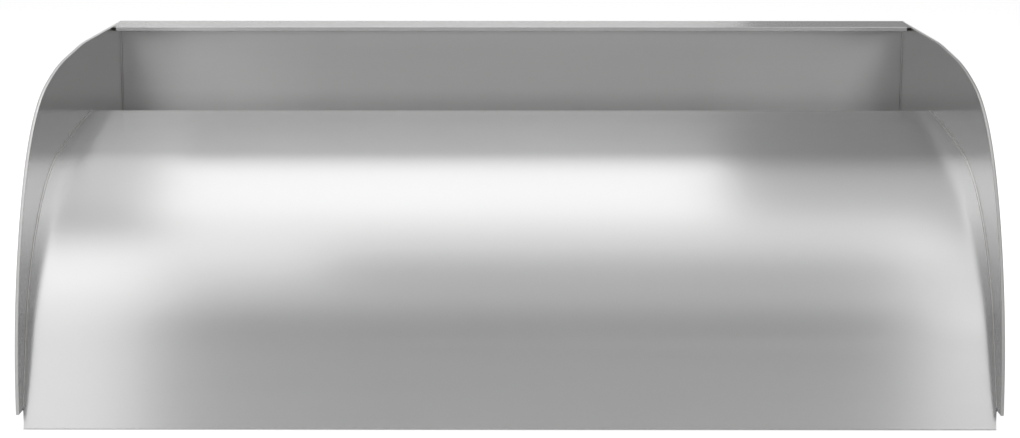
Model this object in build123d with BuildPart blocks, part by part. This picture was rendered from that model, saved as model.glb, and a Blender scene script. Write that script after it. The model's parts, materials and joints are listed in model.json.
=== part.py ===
"""Wave slide: a welded stainless water chute with a wave-shaped spill sheet.

Millimetres, +X to the right as seen from the front, front towards -Y, +Z up.
The origin is the middle of the underside of the base plate.
"""
from build123d import *
from math import cos, radians, sin
import os

os.makedirs("parts", exist_ok=True)

# Overall size
width = 600.0               # over both cheeks
height = 213.0              # floor to the highest line of the rear flange
cheek_height = 211.7        # floor to the level top edge of a cheek
wall_distance = 400.0       # cheek tips to the front face of the rear wall
chamber_depth = 127.0       # spill sheet's drop to the rear wall, inside
cheek_sheet = 2.0
sheet = 1.5                 # every folded sheet between the cheeks

inner_half = width / 2 - cheek_sheet
chamber_y = -chamber_depth / 2
wall_y = chamber_depth / 2
rear_y = wall_y + sheet
front_y = wall_y - wall_distance

# Cheek outline: tangent arcs and one straight run from an upright nose to a level top edge
nose_radius = 230.0
nose_end = 52.0             # heading above level where the nose arc ends, degrees
brow_radius = 126.0
brow_end = 13.5
crown_radius = 400.0
crown_end = 3.5
top_run = 42.4              # straight part between the crown and the top arc
top_radius = 600.0
tip_level = 30.0            # length of the level lower edge behind the tip
foot_start = 42.0           # from here back the cheek stands on the floor
nose_rise = nose_radius * cos(radians(nose_end))
brow_rise = brow_radius * (cos(radians(brow_end)) - cos(radians(nose_end)))
crown_rise = crown_radius * (cos(radians(crown_end)) - cos(radians(brow_end)))
top_rise = top_run * sin(radians(crown_end)) + top_radius * (1 - cos(radians(crown_end)))
tip_z = cheek_height - nose_rise - brow_rise - crown_rise - top_rise

# Spill sheet: leaning lip, wave arc, shallow rise arc, crest bend, drop
lip_setback = 6.7           # foot of the lip behind the cheek tips
lip_lean = 69.5             # heading above level, degrees
lip_length = 55.0
wave_radius = 153.0
wave_end = 8.0              # heading where the wave arc gives way to the shallow rise arc
rise_end = 3.0              # heading where the crest bend starts
crest_radius = 4.0
lip_inset = 0.8             # each side, where the lip hangs free below the cheek tips
lip_y = front_y + lip_setback
lip_z = sheet * cos(radians(lip_lean))              # the lip's underside edge is on the floor
lip_back_y = lip_y + sheet * sin(radians(lip_lean))

# Rear wall with its flange folded forward and a pressed flat hem on the flange's edge
wall_bend = 3.0
flange_fall = 2.4           # the flange falls towards the front, degrees
flange_run = 33.0           # straight part in front of the bend
flange_y = rear_y - wall_bend * (1 + sin(radians(flange_fall))) - flange_run * cos(radians(flange_fall))
hem_return = 10.0
hem_height = 3.4            # over both layers and the line between them
hem_corner = 0.4
corner_notch = 2.5          # square relief where the hem meets a cheek

# Ribs under the spill sheet
rib_sheet = 2.0
rib_spacing = 150.0
rib_hole_radius = 25.0
rib_hole_y = -165.0
rib_hole_z = 72.0

# Diffuser plate, its hand grips and the two ledges that it lies on
diffuser_z = 95.0
diffuser_width = 590.0
front_gap = 4.0             # in front of the plate, to the spill sheet's drop
flange_gap = 2.0            # the plate passes in front of the flange when it is lifted out
diffuser_front = chamber_y + front_gap
diffuser_rear = flange_y - flange_gap
diffuser_depth = diffuser_rear - diffuser_front
diffuser_y = (diffuser_front + diffuser_rear) / 2
hole_radius = 5.0
hole_pitch = 22.0
row_pitch = 20.0
hole_columns = 26
hole_rows = 4
grip_x = 9 * hole_pitch
grip_half_span = 2 * hole_pitch
grip_rise = 35.0
grip_bend = 10.0
grip_rod_radius = 3.0
ledge_length = 590.0
front_ledge_depth = 12.0
rear_ledge_depth = 44.0
ledge_leg = 12.0

# Water inlet: G 1 1/2 half socket, washer and hose tail
inlet_z = 46.0
inlet_hole_radius = 20.0
socket_radius = 27.5
socket_bore_radius = 23.95
socket_length = 26.0
washer_thickness = 2.0
thread_radius = 23.85
thread_length = 18.0
hex_across = 55.0
hex_length = 10.0
spigot_radius = 19.0
spigot_length = 45.0
spigot_chamfer = 1.5
tail_bore_radius = 16.0

# Deflector that turns the inlet jet aside
deflector_width = 120.0
deflector_height = 76.0
deflector_corner = 8.0
deflector_gap = 25.0
spacer_radius = 4.0
spacer_x = 96.0             # spacing between spacer centres
spacer_z = 60.0

# Lugs that screw the chute down behind the rear wall
lug_sheet = 3.0
lug_width = 40.0
lug_reach = 30.0
lug_height = 30.0
lug_spacing = 400.0
lug_hole_radius = 4.5
lug_hole_reach = 17.0


def facing_back(y, z=0.0):
    """Upright plane at y whose extrusions run towards the rear."""
    return Plane(origin=(0, y, z), x_dir=(1, 0, 0), z_dir=(0, 1, 0))


def save(piece, name):
    """Label a finished piece and write it to its own file."""
    piece.label = name
    export_step(piece, f"parts/{name}.step")


def spill_line():
    """Upper face of the spill sheet in side view, from its lip to the foot of its drop."""
    lip = PolarLine((lip_y, lip_z), lip_length, lip_lean)
    wave = JernArc(lip @ 1, lip % 1, wave_radius, wave_end - lip_lean)
    crest_start = chamber_y - crest_radius * (1 + sin(radians(rise_end)))
    rise_radius = (crest_start - (wave @ 1).X) / (sin(radians(wave_end)) - sin(radians(rise_end)))
    rise = JernArc(wave @ 1, wave % 1, rise_radius, rise_end - wave_end)
    crest = JernArc(rise @ 1, rise % 1, crest_radius, -90 - rise_end)
    Line(crest @ 1, (chamber_y, 0))


# Cheeks, one each side
for side, name in ((-1, "cheek_left"), (1, "cheek_right")):
    with BuildPart() as cheek:
        with BuildSketch(Plane.YZ.offset(side * inner_half)):
            with BuildLine():
                nose = JernArc((front_y, tip_z), (0, 1), nose_radius, nose_end - 90)
                brow = JernArc(nose @ 1, nose % 1, brow_radius, brow_end - nose_end)
                crown = JernArc(brow @ 1, brow % 1, crown_radius, crown_end - brow_end)
                run = PolarLine(crown @ 1, top_run, crown_end)
                top = JernArc(run @ 1, run % 1, top_radius, -crown_end)
                Polyline(
                    top @ 1,
                    (rear_y, cheek_height),
                    (rear_y, 0),
                    (front_y + foot_start, 0),
                    (front_y + tip_level, tip_z),
                    (front_y, tip_z),
                )
            make_face()
        extrude(amount=side * cheek_sheet)
    save(cheek.part, name)

# Spill sheet, folded from one blank
with BuildPart() as spill_sheet:
    with BuildSketch(Plane.YZ.offset(-inner_half)):
        with BuildLine():
            spill_line()
            offset(amount=sheet, side=Side.RIGHT)
        make_face()
    extrude(amount=2 * inner_half)
    with BuildSketch(facing_back(front_y)):
        with Locations((-inner_half, 0), (inner_half, 0)):
            Rectangle(2 * lip_inset, 2 * tip_z)
    extrude(amount=tip_level, mode=Mode.SUBTRACT)
save(spill_sheet.part, "spill_sheet")

# Rear wall, flange and hem, folded from one blank, with the inlet hole
with BuildPart() as back_plate:
    with BuildSketch(Plane.YZ.offset(-inner_half)):
        with BuildLine():
            wall = Line((rear_y, 0), (rear_y, height - wall_bend))
            fold = JernArc(wall @ 1, wall % 1, wall_bend, 90 + flange_fall)
            flange = PolarLine(fold @ 1, flange_run, 180 + flange_fall)
            offset(amount=sheet, side=Side.LEFT)
        make_face()
        with Locations(flange @ 1):
            Rectangle(hem_return, hem_height, rotation=flange_fall, align=(Align.MIN, Align.MAX))
    extrude(amount=2 * inner_half)
    fillet(edges().filter_by(Axis.X).sort_by(Axis.Y)[:2], radius=hem_corner)
    with BuildSketch(Plane.XY.offset(height)):
        with Locations((-inner_half, flange_y), (inner_half, flange_y)):
            Rectangle(2 * corner_notch, 2 * corner_notch)
    extrude(amount=-hem_return, mode=Mode.SUBTRACT)
    with BuildSketch(facing_back(wall_y, inlet_z)):
        Circle(inlet_hole_radius)
    extrude(amount=sheet, mode=Mode.SUBTRACT)
save(back_plate.part, "back_plate")

# Base plate closing the chamber's floor
with BuildPart() as base_plate:
    with BuildSketch(Plane.XY):
        Rectangle(2 * inner_half, chamber_depth)
    extrude(amount=sheet)
save(base_plate.part, "base_plate")

# Ribs that carry the spill sheet on the floor
for place, name in ((-1, "lip_rib_left"), (0, "lip_rib_center"), (1, "lip_rib_right")):
    with BuildPart() as rib:
        with BuildSketch(Plane.YZ.offset(place * rib_spacing - rib_sheet / 2)):
            with BuildLine():
                spill_line()
                Polyline((chamber_y, 0), (lip_back_y, 0), (lip_y, lip_z))
            make_face()
            with BuildLine():
                spill_line()
                offset(amount=sheet, side=Side.RIGHT)
            make_face(mode=Mode.SUBTRACT)
            with Locations((rib_hole_y, rib_hole_z)):
                Circle(rib_hole_radius, mode=Mode.SUBTRACT)
        extrude(amount=rib_sheet)
    save(rib.part, name)

# Perforated diffuser plate that calms the water, lying loose on the ledges
with BuildPart() as diffuser_plate:
    with BuildSketch(Plane.XY.offset(diffuser_z)):
        with Locations((0, diffuser_y)):
            Rectangle(diffuser_width, diffuser_depth)
            with GridLocations(hole_pitch, row_pitch, hole_columns, hole_rows):
                Circle(hole_radius, mode=Mode.SUBTRACT)
    extrude(amount=sheet)
save(diffuser_plate.part, "diffuser_plate")

# Bent-rod hand grips welded on the diffuser plate
grip_foot_z = diffuser_z + sheet
grip_top_z = grip_foot_z + grip_rise
for side, name in ((-1, "diffuser_grip_left"), (1, "diffuser_grip_right")):
    near_x = side * grip_x - grip_half_span
    far_x = side * grip_x + grip_half_span
    with BuildPart() as grip:
        with BuildLine() as grip_path:
            FilletPolyline(
                (near_x, diffuser_y, grip_foot_z),
                (near_x, diffuser_y, grip_top_z),
                (far_x, diffuser_y, grip_top_z),
                (far_x, diffuser_y, grip_foot_z),
                radius=grip_bend,
            )
        with BuildSketch(Plane.XY.offset(grip_foot_z)):
            with Locations((near_x, diffuser_y)):
                Circle(grip_rod_radius)
        sweep(path=grip_path.line)
    save(grip.part, name)

# Ledges: small angles welded to the chamber's front and to the rear wall
ledges = (
    ("front_ledge", chamber_y, front_ledge_depth, Align.MIN),
    ("rear_ledge", wall_y, rear_ledge_depth, Align.MAX),
)
for name, face_y, depth, against in ledges:
    with BuildPart() as ledge:
        with BuildSketch(Plane.YZ.offset(-ledge_length / 2)):
            with Locations((face_y, diffuser_z)):
                Rectangle(depth, sheet, align=(against, Align.MAX))
                Rectangle(sheet, ledge_leg, align=(against, Align.MAX))
        extrude(amount=ledge_length)
    save(ledge.part, name)

# Deflector plate in front of the inlet, on four round spacers
deflector_y = wall_y - deflector_gap - sheet
with BuildPart() as inlet_deflector:
    with BuildSketch(facing_back(deflector_y, inlet_z)):
        RectangleRounded(deflector_width, deflector_height, deflector_corner)
    extrude(amount=sheet)
save(inlet_deflector.part, "inlet_deflector")

with BuildPart() as deflector_spacers:
    with BuildSketch(facing_back(deflector_y + sheet, inlet_z)):
        with GridLocations(spacer_x, spacer_z, 2, 2):
            Circle(spacer_radius)
    extrude(amount=deflector_gap)
save(deflector_spacers.part, "deflector_spacers")

# Inlet socket welded over the hole in the rear wall
with BuildPart() as inlet_socket:
    with BuildSketch(facing_back(rear_y, inlet_z)):
        Circle(socket_radius)
        Circle(socket_bore_radius, mode=Mode.SUBTRACT)
    extrude(amount=socket_length)
save(inlet_socket.part, "inlet_socket")

washer_y = rear_y + socket_length
with BuildPart() as tail_washer:
    with BuildSketch(facing_back(washer_y, inlet_z)):
        Circle(socket_radius)
        Circle(socket_bore_radius, mode=Mode.SUBTRACT)
    extrude(amount=washer_thickness)
save(tail_washer.part, "tail_washer")

# Hose tail: thread, hexagon and plain spigot on one bore
hex_y = washer_y + washer_thickness
spigot_y = hex_y + hex_length
with BuildPart() as hose_tail:
    with BuildSketch(facing_back(washer_y - thread_length, inlet_z)):
        Circle(thread_radius)
    extrude(amount=thread_length + washer_thickness)
    with BuildSketch(facing_back(hex_y, inlet_z)):
        RegularPolygon(hex_across / 2, 6, major_radius=False)
    extrude(amount=hex_length)
    with BuildSketch(facing_back(spigot_y, inlet_z)):
        Circle(spigot_radius)
    extrude(amount=spigot_length)
    chamfer(edges().group_by(Axis.Y)[-1], length=spigot_chamfer)
    with BuildSketch(facing_back(washer_y - thread_length, inlet_z)):
        Circle(tail_bore_radius)
    bore_length = thread_length + washer_thickness + hex_length + spigot_length
    extrude(amount=bore_length, mode=Mode.SUBTRACT)
save(hose_tail.part, "hose_tail")

# Fixing lugs: angles welded low on the rear wall, one screw hole each
for side, name in ((-1, "fixing_lug_left"), (1, "fixing_lug_right")):
    lug_x = side * lug_spacing / 2
    with BuildPart() as lug:
        with BuildSketch(Plane.YZ.offset(lug_x - lug_width / 2)):
            with Locations((rear_y, 0)):
                Rectangle(lug_reach, lug_sheet, align=(Align.MIN, Align.MIN))
                Rectangle(lug_sheet, lug_height, align=(Align.MIN, Align.MIN))
        extrude(amount=lug_width)
        with BuildSketch(Plane.XY):
            with Locations((lug_x, rear_y + lug_hole_reach)):
                Circle(lug_hole_radius)
        extrude(amount=lug_sheet, mode=Mode.SUBTRACT)
    save(lug.part, name)
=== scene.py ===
"""Wave slide: looks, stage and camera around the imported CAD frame. Metres, +Z up, front towards -Y."""
import bpy
import bmesh
import json
from math import cos, pi, radians, sin, tan
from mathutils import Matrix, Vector, noise

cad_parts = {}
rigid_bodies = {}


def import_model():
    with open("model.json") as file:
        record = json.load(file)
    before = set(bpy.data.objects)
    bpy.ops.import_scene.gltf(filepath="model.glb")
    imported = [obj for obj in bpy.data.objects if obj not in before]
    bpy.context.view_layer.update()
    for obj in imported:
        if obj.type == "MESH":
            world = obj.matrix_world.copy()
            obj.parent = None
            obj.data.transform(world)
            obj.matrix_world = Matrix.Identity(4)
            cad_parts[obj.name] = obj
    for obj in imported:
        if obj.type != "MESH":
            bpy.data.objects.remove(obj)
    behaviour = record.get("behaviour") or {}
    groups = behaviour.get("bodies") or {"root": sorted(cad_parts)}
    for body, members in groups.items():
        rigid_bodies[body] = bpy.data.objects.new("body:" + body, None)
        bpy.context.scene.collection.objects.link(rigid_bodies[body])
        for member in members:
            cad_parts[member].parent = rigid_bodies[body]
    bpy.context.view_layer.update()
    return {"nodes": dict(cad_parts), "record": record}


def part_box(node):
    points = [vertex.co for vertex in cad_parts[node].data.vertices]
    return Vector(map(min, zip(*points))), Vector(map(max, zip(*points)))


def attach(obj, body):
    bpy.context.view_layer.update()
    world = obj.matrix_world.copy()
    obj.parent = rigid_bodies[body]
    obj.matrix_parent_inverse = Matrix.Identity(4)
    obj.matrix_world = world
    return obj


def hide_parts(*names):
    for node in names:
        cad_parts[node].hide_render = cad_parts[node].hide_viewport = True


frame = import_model()
MM = 0.001

# ---------------------------------------------------------------- camera
LENS = 81.53                    # mm on the default 36 mm sensor
CAMERA_HEIGHT = 0.3806
CAMERA_DISTANCE = 1.3586        # in front of the cheek tips
CAMERA_X = 0.0048
PITCH_DOWN = 10.35              # degrees
YAW = 0.19

# ---------------------------------------------------------------- sizes, from the frame
cheek_low, cheek_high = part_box("cheek_right")
spill_low, spill_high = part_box("spill_sheet")
back_low, back_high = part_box("back_plate")
socket_low, socket_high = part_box("inlet_socket")
FRONT_Y = cheek_low.y
REAR_Y = cheek_high.y
CHEEK_TOP = cheek_high.z
WALL_TOP = back_high.z
INNER_X = cheek_low.x
OUTER_X = cheek_high.x
LIP_Y = spill_low.y
LIP_INSET = 0.8 * MM            # each side, where the lip hangs free below the cheek tips
CHAMBER_Y = spill_high.y
AXIS_Z = (socket_low.z + socket_high.z) / 2             # of the inlet
SOCKET_RADIUS = (socket_high.x - socket_low.x) / 2
SHEET = 1.5 * MM
WALL_Y = REAR_Y - SHEET
CHEEK_SHEET = OUTER_X - INNER_X
TIP_Z = cheek_low.z + 11.1 * MM


# ---------------------------------------------------------------- profiles in side view, (y, z)
def arc(points, heading, radius, turn, count):
    """Adds an arc to points from their last one; turn is in degrees, positive to the left."""
    y, z = points[-1]
    side = 1 if turn > 0 else -1
    start = radians(heading)
    center_y = y - side * radius * sin(start)
    center_z = z + side * radius * cos(start)
    for k in range(1, count + 1):
        angle = start + radians(turn) * k / count
        points.append((center_y + side * radius * sin(angle), center_z - side * radius * cos(angle)))
    return heading + turn


def line(points, heading, length, count):
    """Adds a straight run to points, with one close to each end so that it is shaded flat."""
    y, z = points[-1]
    guard = min(0.2 * MM, length / (3 * count))
    for reach in [guard] + [length * k / count for k in range(1, count)] + [length - guard, length]:
        points.append((y + cos(radians(heading)) * reach, z + sin(radians(heading)) * reach))


def spill_path():
    """Upper face of the spill sheet, from its lip over the crest to the foot of its drop."""
    heading = 69.5              # the lip's lean
    lip_run = 55 * MM
    wave = 153 * MM
    wave_turn = -61.5
    rise_end = 3.0
    crest = 4 * MM
    points = [(LIP_Y, SHEET * cos(radians(heading)))]
    line(points, heading, lip_run, 24)
    heading = arc(points, heading, wave, wave_turn, 72)
    crest_start = CHAMBER_Y - crest * (1 + sin(radians(rise_end)))
    rise_radius = (crest_start - points[-1][0]) / (sin(radians(heading)) - sin(radians(rise_end)))
    heading = arc(points, heading, rise_radius, rise_end - heading, 30)
    heading = arc(points, heading, crest, -90 - heading, 30)
    line(points, heading, points[-1][1], 24)
    return points


def cheek_outline():
    """Outline of a cheek, from the tip over the crown and round the rear and the foot."""
    arcs = [(230, -38, 40), (126, -38.5, 40), (400, -10, 24)]       # radius in mm, turn, steps
    brow_run = 42.4 * MM
    crown = 600 * MM
    points = [(FRONT_Y, 0.0)]
    heading = 90
    for radius, turn, count in arcs:
        heading = arc(points, heading, radius * MM, turn, count)
    line(points, heading, brow_run, 4)
    arc(points, heading, crown, -heading, 12)
    rise = CHEEK_TOP - points[-1][1]
    points = [(y, z + rise) for y, z in points]
    tip_z = points[0][1]
    foot_y = FRONT_Y + 42 * MM
    step_y = FRONT_Y + 30 * MM
    points += [(REAR_Y, CHEEK_TOP), (REAR_Y, 0.0), (foot_y, 0.0), (step_y, tip_z)]
    return points


def back_section():
    """Closed section of the rear wall, its falling flange and the pressed flat hem."""
    fall = 2.4
    bend = 3 * MM
    corner = 0.4 * MM
    hem = 3.4 * MM
    flange = 33 * MM
    under_hem = 10 * MM
    under_flange = 23 * MM
    points = [(REAR_Y, 0.0)]
    line(points, 90, WALL_TOP - bend, 12)
    heading = arc(points, 90, bend, 90 + fall, 12)
    line(points, heading, flange - corner, 6)
    heading = arc(points, heading, corner, 90, 6)
    line(points, heading, hem - 2 * corner, 2)
    heading = arc(points, heading, corner, 90, 6)
    line(points, heading, under_hem - corner, 2)
    line(points, heading + 90, hem - SHEET, 1)
    line(points, heading, under_flange, 4)
    heading = arc(points, heading, bend - SHEET, -90 - fall, 10)
    line(points, heading, points[-1][1], 12)
    return points


# ---------------------------------------------------------------- mesh helpers
def piece(name, mesh, body, replaced=()):
    """Links a finished mesh as a named piece that rides on a body."""
    obj = bpy.data.objects.new(name, mesh)
    bpy.context.scene.collection.objects.link(obj)
    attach(obj, body)
    if replaced:
        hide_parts(*replaced)
    return obj


def path_normals(points):
    """Unit normals to the left of an open path, one per point."""
    normals = []
    last = len(points) - 1
    for k in range(len(points)):
        before = points[max(k - 1, 0)]
        after = points[min(k + 1, last)]
        along = Vector((after[0] - before[0], after[1] - before[1])).normalized()
        normals.append(Vector((-along.y, along.x)))
    return normals


def finished(name, bm, sharp):
    """Turns a bmesh into a smooth mesh whose edges are sharp above an angle in degrees."""
    bmesh.ops.recalc_face_normals(bm, faces=bm.faces)
    mesh = bpy.data.meshes.new(name)
    bm.to_mesh(mesh)
    bm.free()
    mesh.shade_smooth()
    mesh.set_sharp_from_angle(angle=radians(sharp))
    return mesh


def sweep_mesh(name, ring, half_width, columns, warp=None, narrow=lambda z: 1.0):
    """Closed section swept along X. ring lists (point, distance along the sheet, warp direction).

    warp(x, run) moves the sheet along its direction and narrow(z) is the share of the full
    width at a height. U runs round the section and V along X, both in metres.
    """
    bm = bmesh.new()
    uv_layer = bm.loops.layers.uv.new("grain")
    rows = []
    for c in range(columns + 1):
        x = half_width * (2 * c / columns - 1)
        row = []
        for point, run, direction in ring:
            moved = point + direction * warp(x, run) if warp else point
            row.append(bm.verts.new((x * narrow(moved.y), moved.x, moved.y)))
        rows.append(row)
    count = len(ring)
    for c in range(columns):
        for k in range(count):
            j = (k + 1) % count
            face = bm.faces.new((rows[c][k], rows[c][j], rows[c + 1][j], rows[c + 1][k]))
            across = (ring[k][1], ring[j][1], ring[j][1], ring[k][1])
            for loop, u in zip(face.loops, across):
                loop[uv_layer].uv = (u, loop.vert.co.x)
    bm.faces.new(rows[0][::-1])
    bm.faces.new(rows[-1])
    return finished(name, bm, 40)


def sheet_ring(path):
    """Ring for sweep_mesh of an open path one sheet thick, the thickness to the path's right."""
    normals = path_normals(path)
    edge = 0.25 * MM
    runs = [0.0]
    for a, b in zip(path, path[1:]):
        runs.append(runs[-1] + (Vector(b) - Vector(a)).length)
    first = (Vector(path[0]) - Vector(path[1])).normalized()
    final = (Vector(path[-1]) - Vector(path[-2])).normalized()
    outer = [[Vector(point), run, normal] for point, run, normal in zip(path, runs, normals)]
    inner = [[point - normal * SHEET, run, normal] for point, run, normal in outer]
    start_cap = [[outer[0][0] - normals[0] * depth, 0.0, normals[0]] for depth in (SHEET - edge, edge)]
    end_cap = [[outer[-1][0] - normals[-1] * depth, runs[-1], normals[-1]] for depth in (edge, SHEET - edge)]
    for side in (outer, inner):
        side[0][0] = side[0][0] - first * edge
        side[-1][0] = side[-1][0] - final * edge
    return outer + end_cap + inner[::-1] + start_cap


def cut(name, mesh, tools):
    """The mesh with closed tool meshes taken out of it."""
    scene = bpy.context.scene.collection.objects
    body = bpy.data.objects.new("cut_body", mesh)
    scene.link(body)
    helpers = [body]
    for tool in tools:
        helper = bpy.data.objects.new("cut_tool", tool)
        scene.link(helper)
        helpers.append(helper)
        step = body.modifiers.new("cut", "BOOLEAN")
        step.operation = "DIFFERENCE"
        step.solver = "EXACT"
        step.object = helper
    seen = body.evaluated_get(bpy.context.evaluated_depsgraph_get())
    bm = bmesh.new()
    bm.from_mesh(seen.to_mesh())
    for helper in helpers:
        bpy.data.objects.remove(helper)
    return finished(name, bm, 40)


def box_mesh(low, high):
    """Plain box between two corners."""
    bm = bmesh.new()
    bmesh.ops.create_cube(bm, size=1)
    center = (Vector(low) + Vector(high)) / 2
    size = Vector(high) - Vector(low)
    for vert in bm.verts:
        vert.co = center + Vector((vert.co.x * size.x, vert.co.y * size.y, vert.co.z * size.z))
    return finished("box", bm, 40)


def tube_mesh(name, points, radius, sides=12, ripple=0.0, pitch=1.6 * MM, seed=0.0):
    """Round bar along 3-D points, or a weld bead if it has ripples."""
    bm = bmesh.new()
    rings = []
    last = len(points) - 1
    run = 0.0
    across = None
    for k, point in enumerate(points):
        here = Vector(point)
        along = (Vector(points[min(k + 1, last)]) - Vector(points[max(k - 1, 0)])).normalized()
        if across is None:
            across = along.orthogonal().normalized()
        across = (across - along * across.dot(along)).normalized()
        third = along.cross(across)
        if k:
            run += (here - Vector(points[k - 1])).length
        uneven = 1.2 * noise.noise(Vector((run / (4 * pitch), seed, 0)))
        swell = 1 + ripple * (sin(2 * pi * run / pitch) + uneven)
        ring = []
        for j in range(sides):
            angle = 2 * pi * j / sides
            offset = across * cos(angle) + third * sin(angle)
            ring.append(bm.verts.new(here + offset * radius * swell))
        rings.append(ring)
    for a, b in zip(rings, rings[1:]):
        for j in range(sides):
            bm.faces.new((a[j], a[(j + 1) % sides], b[(j + 1) % sides], b[j]))
    bm.faces.new(rings[0][::-1])
    bm.faces.new(rings[-1])
    return finished(name, bm, 50)


def weld(name, points, radius, body="chute", seed=0.0, material=None):
    """A weld bead along straight runs between points, cut finely enough for its ripples."""
    step = 0.55 * MM            # a third of a ripple
    fine = [Vector(points[0])]
    for a, b in zip(points, points[1:]):
        count = max(1, round((Vector(b) - Vector(a)).length / step))
        fine += [Vector(a).lerp(Vector(b), k / count) for k in range(1, count + 1)]
    mesh = tube_mesh(name, fine, radius, 8, ripple=0.09, seed=seed)
    mesh.materials.append(material or weld_steel)
    return piece(name, mesh, body)


def circle_points(center, radius, axis, count=96):
    """Closed ring of points round an axis letter, the first repeated last."""
    ring = []
    for k in range(count + 1):
        angle = 2 * pi * k / count
        a = radius * cos(angle)
        b = radius * sin(angle)
        offset = Vector((a, 0, b)) if axis == "Y" else Vector((a, b, 0))
        ring.append(Vector(center) + offset)
    return ring


def turned_mesh(name, center_z, stations, sides=144, hex_radius=0.0):
    """Piece turned about an axis along Y at x = 0. stations are closed (y, radius, on_hexagon)."""
    bm = bmesh.new()
    rings = []
    for y, radius, on_hexagon in stations:
        ring = []
        for j in range(sides):
            angle = 2 * pi * j / sides
            reach = radius
            if on_hexagon:
                flat = (angle % (pi / 3)) - pi / 6
                reach = min(radius, hex_radius / cos(flat))
            ring.append(bm.verts.new((reach * cos(angle), y, center_z + reach * sin(angle))))
        rings.append(ring)
    for a, b in zip(rings, rings[1:] + rings[:1]):
        for j in range(sides):
            bm.faces.new((a[j], a[(j + 1) % sides], b[(j + 1) % sides], b[j]))
    return finished(name, bm, 28)


def gentle_warp(height, length, seed):
    """A smooth out-of-flat of the given height and wavelength, none at the sheet's side edges."""
    def warp(x, run):
        edge = max(0.0, 1 - (abs(x) / INNER_X) ** 8)
        wave = noise.noise(Vector((x / length, run / length, seed)))
        return height * wave * edge
    return warp


# ---------------------------------------------------------------- materials
LONG_GRAIN = (2.5, 900, 900)    # scratches that run along X
GLOSS_RANGE = 0.02              # roughness either side of its mean


def nodes_of(material):
    """Node tree and main shader of a material."""
    material.use_nodes = True
    tree = material.node_tree
    return tree, tree.nodes["Principled BSDF"]


def brushed(name, color, roughness, anisotropy, grain=LONG_GRAIN, contrast=0.01, relief=0.006, axis="X"):
    """Brushed steel. grain is the scratches' scale per metre and relief their depth in mm.

    axis is the letter of the direction that the anisotropic gloss turns about.
    """
    material = bpy.data.materials.new(name)
    tree, shader = nodes_of(material)
    new = tree.nodes.new
    link = tree.links.new
    place = new("ShaderNodeTexCoord")
    stretch = new("ShaderNodeMapping")
    stretch.inputs["Scale"].default_value = grain
    link(place.outputs["Object"], stretch.inputs["Vector"])
    scratches = new("ShaderNodeTexNoise")
    scratches.inputs["Scale"].default_value = 1.0
    scratches.inputs["Detail"].default_value = 5.0
    scratches.inputs["Roughness"].default_value = 0.65
    link(stretch.outputs["Vector"], scratches.inputs["Vector"])
    broad = new("ShaderNodeTexNoise")
    broad.inputs["Scale"].default_value = 9.0
    broad.inputs["Detail"].default_value = 3.0
    link(place.outputs["Object"], broad.inputs["Vector"])
    both = new("ShaderNodeMath")
    both.operation = "MULTIPLY_ADD"
    both.inputs[1].default_value = 0.35
    link(broad.outputs["Fac"], both.inputs[0])
    link(scratches.outputs["Fac"], both.inputs[2])
    tone = new("ShaderNodeMapRange")
    tone.inputs["From Min"].default_value = 0.35
    tone.inputs["From Max"].default_value = 1.0
    tone.inputs["To Min"].default_value = 1 - contrast
    tone.inputs["To Max"].default_value = 1 + contrast
    link(both.outputs["Value"], tone.inputs["Value"])
    tint = new("ShaderNodeMix")
    tint.data_type = "RGBA"
    tint.blend_type = "MULTIPLY"
    tint.inputs["Factor"].default_value = 1.0
    tint.inputs["A"].default_value = (*color, 1)
    link(tone.outputs["Result"], tint.inputs["B"])
    link(tint.outputs["Result"], shader.inputs["Base Color"])
    gloss = new("ShaderNodeMapRange")
    gloss.inputs["From Min"].default_value = 0.3
    gloss.inputs["From Max"].default_value = 1.0
    gloss.inputs["To Min"].default_value = roughness - GLOSS_RANGE
    gloss.inputs["To Max"].default_value = roughness + GLOSS_RANGE
    link(both.outputs["Value"], gloss.inputs["Value"])
    link(gloss.outputs["Result"], shader.inputs["Roughness"])
    bump = new("ShaderNodeBump")
    bump.inputs["Strength"].default_value = 0.25
    bump.inputs["Distance"].default_value = relief * MM
    link(scratches.outputs["Fac"], bump.inputs["Height"])
    link(bump.outputs["Normal"], shader.inputs["Normal"])
    tangent = new("ShaderNodeTangent")
    tangent.direction_type = "RADIAL"
    tangent.axis = axis
    link(tangent.outputs["Tangent"], shader.inputs["Tangent"])
    shader.inputs["Metallic"].default_value = 1.0
    shader.inputs["Anisotropic"].default_value = anisotropy
    return material


def rubber(name):
    """Dull black rubber with a fine speckle."""
    material = bpy.data.materials.new(name)
    tree, shader = nodes_of(material)
    place = tree.nodes.new("ShaderNodeTexCoord")
    speckle = tree.nodes.new("ShaderNodeTexNoise")
    speckle.inputs["Scale"].default_value = 900.0
    tree.links.new(place.outputs["Object"], speckle.inputs["Vector"])
    tone = tree.nodes.new("ShaderNodeMapRange")
    tone.inputs["To Min"].default_value = 0.018
    tone.inputs["To Max"].default_value = 0.045
    tree.links.new(speckle.outputs["Fac"], tone.inputs["Value"])
    tree.links.new(tone.outputs["Result"], shader.inputs["Base Color"])
    bump = tree.nodes.new("ShaderNodeBump")
    bump.inputs["Strength"].default_value = 0.3
    bump.inputs["Distance"].default_value = 0.05 * MM
    tree.links.new(speckle.outputs["Fac"], bump.inputs["Height"])
    tree.links.new(bump.outputs["Normal"], shader.inputs["Normal"])
    shader.inputs["Roughness"].default_value = 0.75
    return material


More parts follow.
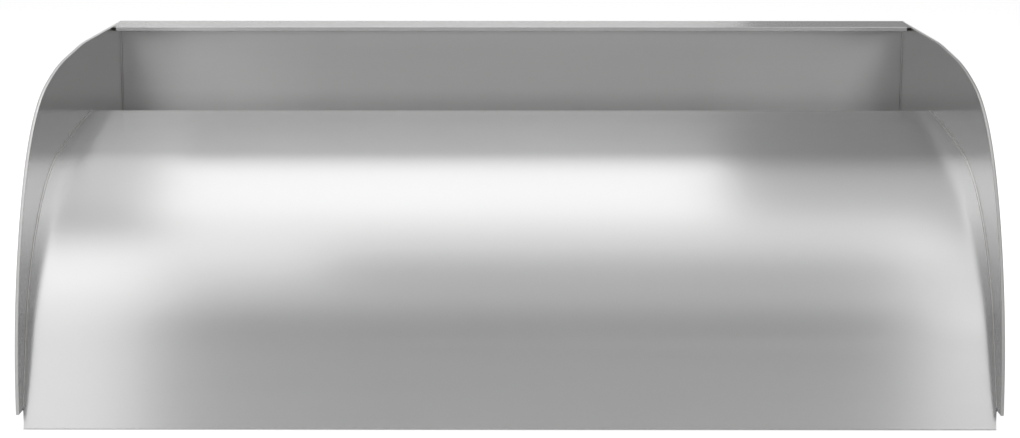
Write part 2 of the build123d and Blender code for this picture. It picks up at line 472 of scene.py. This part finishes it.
sheet_steel = brushed("sheet_steel", (0.66, 0.66, 0.66), 0.255, 0.93)
# A copy of the sheet steel for the rear wall's flat faces, its colour painted lighter: painted light for the
# light the wall reflects
lit_wall_steel = brushed("lit_wall_steel", (0.80, 0.80, 0.80), 0.33, 0.94)
cheek_steel = brushed(
    "cheek_steel", (0.54, 0.54, 0.54), 0.22, 0.60, grain=(2200, 2200, 6), relief=0.001, axis="Z"
)
RIM_GRAIN = (1500, 1500, 60)
# Cut rims of the cheeks as lit and shaded copies of one steel: the left rim's colour is a painted highlight
# for the light from the front left, the right rim's is darker
lit_rim_steel = brushed("lit_rim_steel", (0.88, 0.88, 0.87), 0.50, 0.0, RIM_GRAIN, 0.05)
shaded_rim_steel = brushed("shaded_rim_steel", (0.68, 0.68, 0.67), 0.50, 0.0, RIM_GRAIN, 0.05)
inner_steel = brushed("inner_steel", (0.60, 0.60, 0.59), 0.42, 0.45, contrast=0.05)
fitting_steel = brushed("fitting_steel", (0.62, 0.61, 0.595), 0.30, 0.30, grain=(900, 40, 900))
rod_steel = brushed("rod_steel", (0.63, 0.63, 0.62), 0.24, 0.0, grain=(120, 1500, 1500), contrast=0.05)
epdm = rubber("epdm")

# ---------------------------------------------------------------- visible sheets
def lip_share(z):
    """Share of the full width: a little less where the lip hangs free."""
    free = min(1.0, max(0.0, (TIP_Z - z) / (0.6 * MM)))
    return 1 - free * LIP_INSET / INNER_X


spill_ring = sheet_ring(spill_path())
out_of_flat = gentle_warp(0.12 * MM, 0.13, 3.1)
spill_mesh = sweep_mesh("spill_skin", spill_ring, INNER_X, 72, out_of_flat, lip_share)
spill_mesh.materials.append(sheet_steel)
piece("spill_skin", spill_mesh, "chute", ["spill_sheet"])

back_ring = [(Vector(point), point[1], None) for point in back_section()]
notch = Vector((2.5 * MM, 2.5 * MM, 10 * MM))
tools = []
for x in (-INNER_X, INNER_X):
    corner = Vector((x, back_low.y, WALL_TOP))
    tools.append(box_mesh(corner - notch, corner + notch))
WALL_HOLE = 20 * MM             # radius of the inlet's hole in the rear wall
through = [(0, REAR_Y + reach, AXIS_Z) for reach in (-3 * MM, 3 * MM)]
tools.append(tube_mesh("hole", through, WALL_HOLE, 96))
back_mesh = cut("back_skin", sweep_mesh("back_plain", back_ring, INNER_X, 60), tools)
back_mesh.materials.clear()
back_mesh.materials.append(sheet_steel)
back_mesh.materials.append(lit_wall_steel)
# the rear wall's flat faces take the copy of the sheet steel painted lighter
for face in back_mesh.polygons:
    face.material_index = 1 if abs(face.normal.y) > 0.99 and face.center.z < WALL_TOP - 5 * MM else 0
piece("back_skin", back_mesh, "chute", ["back_plate"])


def cheek_mesh(name, side):
    """A flat cheek with softly broken edges, its cut rim a finish of its own, painted lighter on the left
    cheek than on the right for how the light falls.
    """
    bm = bmesh.new()
    face = bm.faces.new([bm.verts.new((side * INNER_X, y, z)) for y, z in cheek_outline()])
    grown = bmesh.ops.extrude_face_region(bm, geom=[face])
    moved = [v for v in grown["geom"] if isinstance(v, bmesh.types.BMVert)]
    bmesh.ops.translate(bm, verts=moved, vec=(side * CHEEK_SHEET, 0, 0))
    bm.normal_update()
    rims = []
    for edge in bm.edges:
        flat = [abs(f.normal.x) > 0.9 for f in edge.link_faces]
        if any(flat) and not all(flat):
            rims.append(edge)
    bmesh.ops.bevel(bm, geom=rims, offset=0.25 * MM, segments=3, profile=0.5, affect="EDGES")
    bm.normal_update()
    for face in bm.faces:
        face.material_index = 0 if abs(face.normal.x) > 0.999 else 1
    flats = [face for face in bm.faces if face.material_index == 0]
    bmesh.ops.inset_individual(bm, faces=flats, thickness=0.2 * MM, use_even_offset=True)
    mesh = finished(name, bm, 35)
    mesh.materials.append(cheek_steel)
    # painted light: the left rim takes the copy painted lighter, the right rim the darker copy
    mesh.materials.append(lit_rim_steel if side < 0 else shaded_rim_steel)
    return mesh


for side, node in ((-1, "cheek_left"), (1, "cheek_right")):
    piece(node + "_skin", cheek_mesh(node + "_skin", side), "chute", [node])

# ---------------------------------------------------------------- weld beads
weld_steel = brushed("weld_steel", (0.76, 0.75, 0.73), 0.34, 0.0, grain=(400, 400, 400), contrast=0.10)
# Near-black steel for the tacks at the hem's front corners: its dark colour is painted shade for the shadowed
# gap between the hem's end and the cheek
corner_shade_steel = brushed("corner_shade_steel", (0.07, 0.065, 0.06), 0.55, 0.0, grain=(700, 700, 700), contrast=0.20)
spill_points = spill_path()
seam = [p for p in spill_points if p[1] > TIP_Z + 1 * MM and p[0] < CHAMBER_Y - 2 * MM]
for side, word in ((-1, "left"), (1, "right")):
    x = side * (INNER_X - 0.15 * MM)
    weld(f"seam_weld_{word}", [(x, y, z) for y, z in seam], 0.55 * MM, seed=side)
    corner = [(x, WALL_Y - 0.1 * MM, z) for z in (2 * MM, WALL_TOP - 7 * MM)]
    weld(f"corner_weld_{word}", corner, 0.75 * MM, seed=side + 5)
    # a dark tack at each front corner of the hem, painted shade where the gap at the hem's end lies in shadow
    tack_x = side * (INNER_X - 1.1 * MM)
    tack_z = WALL_TOP - 3.2 * MM
    tack = [(tack_x, back_low.y + reach * MM, tack_z) for reach in (0.4, 1.6)]
    weld(f"hem_shade_tack_{word}", tack, 1.3 * MM, seed=side + 3, material=corner_shade_steel)
    rear_x = side * (INNER_X + 0.2 * MM)
    for k, low in enumerate((8, 62, 116, 170)):
        stitch = [(rear_x, REAR_Y - 0.3 * MM, z * MM) for z in (low, low + 26)]
        weld(f"rear_weld_{word}_{k}", stitch, 1.3 * MM, seed=side + k)
    lug_low, lug_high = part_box(f"fixing_lug_{word}")
    for k, lug_x in enumerate((lug_low.x, lug_high.x)):
        ends = (lug_low.z + 5 * MM, lug_high.z - 1 * MM)
        run = [(lug_x, REAR_Y + 0.4 * MM, z) for z in ends]
        weld(f"lug_weld_{word}_{k}", run, 1.2 * MM, seed=k + 9)
socket_foot = circle_points((0, REAR_Y + 0.6 * MM, AXIS_Z), SOCKET_RADIUS + 0.3 * MM, "Y", 180)
weld("socket_weld", socket_foot, 1.7 * MM, seed=4)

# ---------------------------------------------------------------- socket, washer and hose tail
SOCKET_BORE = 23.95 * MM
bevel = 0.8 * MM
y0, y1 = socket_low.y, socket_high.y
socket_mesh = turned_mesh("socket_skin", AXIS_Z, [
    (y0, SOCKET_BORE, False), (y0, SOCKET_RADIUS, False), (y1 - bevel, SOCKET_RADIUS, False),
    (y1 - 0.3 * bevel, SOCKET_RADIUS - 0.3 * bevel, False), (y1, SOCKET_RADIUS - bevel, False),
    (y1, SOCKET_BORE + bevel, False), (y1 - bevel, SOCKET_BORE, False)])
socket_mesh.materials.append(fitting_steel)
piece("socket_skin", socket_mesh, "chute", ["inlet_socket"])

washer_low, washer_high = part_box("tail_washer")
y0, y1 = washer_low.y, washer_high.y
squeeze = 0.35 * MM
washer_mesh = turned_mesh("washer_skin", AXIS_Z, [
    (y0, SOCKET_BORE, False), (y0, SOCKET_RADIUS - squeeze, False),
    (y0 + squeeze, SOCKET_RADIUS - 0.1 * squeeze, False),
    ((y0 + y1) / 2, SOCKET_RADIUS, False), (y1 - squeeze, SOCKET_RADIUS - 0.1 * squeeze, False),
    (y1, SOCKET_RADIUS - squeeze, False), (y1, SOCKET_BORE, False)])
washer_mesh.materials.append(epdm)
piece("washer_skin", washer_mesh, "chute", ["tail_washer"])

tail_low, tail_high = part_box("hose_tail")
HEX_FLAT = (tail_high.z - tail_low.z) / 2
HEX_CORNER = HEX_FLAT / cos(pi / 6)
BORE = 16 * MM
SPIGOT = 19 * MM
THREAD = 23.85 * MM
hex_y = y1
spigot_y = hex_y + 10 * MM
end_y = tail_high.y
drop = (HEX_CORNER - HEX_FLAT) * 0.62
stations = [(tail_low.y, BORE, False), (tail_low.y, THREAD - 1 * MM, False)]
stations += [(tail_low.y + 1 * MM, THREAD, False)]
turns = 8
for k in range(turns):
    y = tail_low.y + (2 + 1.9 * k) * MM
    stations += [(y, THREAD, False), (y + 0.95 * MM, THREAD - 1.1 * MM, False)]
stations += [(hex_y, THREAD - 0.4 * MM, False), (hex_y, HEX_FLAT - 0.5 * MM, True)]
stations += [(hex_y + drop, HEX_CORNER, True), (spigot_y - drop, HEX_CORNER, True)]
stations += [(spigot_y, HEX_FLAT - 0.5 * MM, True), (spigot_y, SPIGOT + 1.2 * MM, False)]
stations += [(spigot_y + 1.2 * MM, SPIGOT, False)]
barbs = 5
for k in range(barbs):
    y = spigot_y + (8 + 7 * k) * MM
    stations += [(y, SPIGOT, False), (y + 0.15 * MM, SPIGOT - 0.5 * MM, False), (y + 2.2 * MM, SPIGOT, False)]
stations += [(end_y - 1.5 * MM, SPIGOT, False), (end_y - 0.2 * MM, SPIGOT - 1.3 * MM, False)]
stations += [(end_y, SPIGOT - 1.6 * MM, False), (end_y, BORE + 0.5 * MM, False)]
stations += [(end_y - 0.5 * MM, BORE, False)]
tail_mesh = turned_mesh("tail_skin", AXIS_Z, stations, hex_radius=HEX_FLAT)
tail_mesh.materials.append(fitting_steel)
piece("tail_skin", tail_mesh, "chute", ["hose_tail"])

# ---------------------------------------------------------------- grips on the diffuser
for word in ("left", "right"):
    low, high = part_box(f"diffuser_grip_{word}")
    rod = (high.y - low.y) / 2
    y = (low.y + high.y) / 2
    bend = 10 * MM
    x0, x1, top = low.x + rod, high.x - rod, high.z - rod
    route = [(x0, y, low.z + k * (top - bend - low.z) / 6) for k in range(7)]
    quarter = [(cos(pi * k / 24), sin(pi * k / 24)) for k in range(1, 13)]
    route += [(x0 + bend * (1 - c), y, top - bend + bend * s) for c, s in quarter]
    route += [(x0 + bend + k * (x1 - x0 - 2 * bend) / 10, y, top) for k in range(1, 11)]
    route += [(x1 - bend + bend * s, y, top - bend + bend * c) for c, s in quarter]
    route += [(x1, y, top - bend - k * (top - bend - low.z) / 6) for k in range(1, 7)]
    grip_mesh = tube_mesh(f"grip_skin_{word}", route, rod, 28)
    grip_mesh.materials.append(rod_steel)
    piece(f"grip_skin_{word}", grip_mesh, "diffuser", [f"diffuser_grip_{word}"])
    for k, foot_x in enumerate((x0, x1)):
        ring = circle_points((foot_x, y, low.z + 0.3 * MM), rod + 0.2 * MM, "Z", 48)
        weld(f"grip_weld_{word}_{k}", ring, 0.9 * MM, "diffuser", seed=k)

# ---------------------------------------------------------------- CAD nodes that stay
slot_materials = {
    "sheet_steel": sheet_steel,
    "inner_steel": inner_steel,
    "fitting_steel": fitting_steel,
    "epdm": epdm,
}
slot_of_node = {row["node"]: row["material_slot"] for row in frame["record"]["subparts"]}
for node, obj in frame["nodes"].items():
    obj.data.materials.clear()
    obj.data.materials.append(slot_materials[slot_of_node[node]])

# ---------------------------------------------------------------- stage
FLOOR_Z = -0.5 * MM
DOME_RADIUS = 1.75
DOME_Y = -0.12
DOME_Z = 0.12


def floor():
    """A pale floor, lifted for the camera so that it reads as white."""
    mesh = bpy.data.meshes.new("floor")
    reach = 12.0
    corners = [(-reach, -reach), (reach, -reach), (reach, reach), (-reach, reach)]
    mesh.from_pydata([(x, y, FLOOR_Z) for x, y in corners], [], [(0, 1, 2, 3)])
    material = bpy.data.materials.new("floor")
    tree, shader = nodes_of(material)
    shader.inputs["Base Color"].default_value = (0.9, 0.9, 0.9, 1)
    shader.inputs["Roughness"].default_value = 0.9
    shader.inputs["Specular IOR Level"].default_value = 0.0
    seen = tree.nodes.new("ShaderNodeLightPath")
    lift = tree.nodes.new("ShaderNodeMath")
    lift.operation = "MULTIPLY"
    lift.inputs[1].default_value = 0.80
    tree.links.new(seen.outputs["Is Camera Ray"], lift.inputs[0])
    shader.inputs["Emission Color"].default_value = (1, 1, 1, 1)
    tree.links.new(lift.outputs["Value"], shader.inputs["Emission Strength"])
    mesh.materials.append(material)
    obj = bpy.data.objects.new("floor", mesh)
    bpy.context.scene.collection.objects.link(obj)


def panel(name, x_low, x_high, low, high, radiance):
    """A soft light on a dome whose axis runs along X through the object.

    low and high are its edges in degrees, from level at the front over the top to level behind,
    and radiance is its brightness as seen.
    """
    middle = radians((low + high) / 2)
    half = radians((high - low) / 2)
    center_y = DOME_Y - DOME_RADIUS * cos(middle)
    center_z = DOME_Z + DOME_RADIUS * sin(middle)
    center = Vector(((x_low + x_high) / 2, center_y, center_z))
    aim = Vector((center.x, DOME_Y, DOME_Z)) - center
    light = bpy.data.lights.new(name, "AREA")
    light.shape = "RECTANGLE"
    light.size = x_high - x_low
    light.size_y = 2 * DOME_RADIUS * tan(half)
    light.energy = radiance * light.size * light.size_y * pi
    obj = bpy.data.objects.new(name, light)
    obj.location = center
    obj.rotation_euler = aim.to_track_quat("-Z", "Y").to_euler()
    bpy.context.scene.collection.objects.link(obj)


floor()
panel("overhead_near", -0.50, 0.30, 88, 102, 1.58)
panel("overhead", -0.50, 0.30, 102, 120, 1.30)
panel("overhead_far", -0.50, 0.30, 120, 134, 1.60)
panel("overhead_rear", -0.50, 0.30, 134, 143, 0.62)
panel("overhead_left", -0.75, -0.50, 90, 150, 0.68)
panel("overhead_right", 0.30, 0.80, 84, 132, 0.48)
panel("behind", -0.60, 0.33, 163, 172, 1.38)
panel("behind_right", 0.33, 0.95, 163, 172, 0.36)
panel("rear_fill", -0.60, 0.60, 172, 178, 0.90)
panel("left_high", -0.90, -0.49, 44, 76, 1.45)
panel("left_low", -0.90, -0.49, 0, 44, 1.03)
panel("left_top", -0.49, -0.25, 54, 86, 1.12)
panel("front_top", -0.25, 0.60, 62, 88, 0.95)
panel("front_mid", -0.49, 0.54, 38, 50, 0.84)
panel("right_high", 0.54, 0.95, 44, 76, 0.88)
panel("right_low", 0.54, 0.95, 12, 44, 1.14)
panel("front_low", -0.49, 0.56, 2, 14, 1.08)

world = bpy.data.worlds.new("studio")
bpy.context.scene.world = world
world.use_nodes = True
sky = world.node_tree.nodes["Background"]
sky.inputs["Color"].default_value = (1, 1, 1, 1)
sky.inputs["Strength"].default_value = 0.18
bpy.context.scene.view_settings.view_transform = "Standard"

# ---------------------------------------------------------------- camera object
camera_data = bpy.data.cameras.new("camera")
camera_data.lens = LENS
camera = bpy.data.objects.new("camera", camera_data)
camera.location = (CAMERA_X, FRONT_Y - CAMERA_DISTANCE, CAMERA_HEIGHT)
camera.rotation_euler = (radians(90 - PITCH_DOWN), 0, radians(YAW))
bpy.context.scene.collection.objects.link(camera)
bpy.context.scene.camera = camera
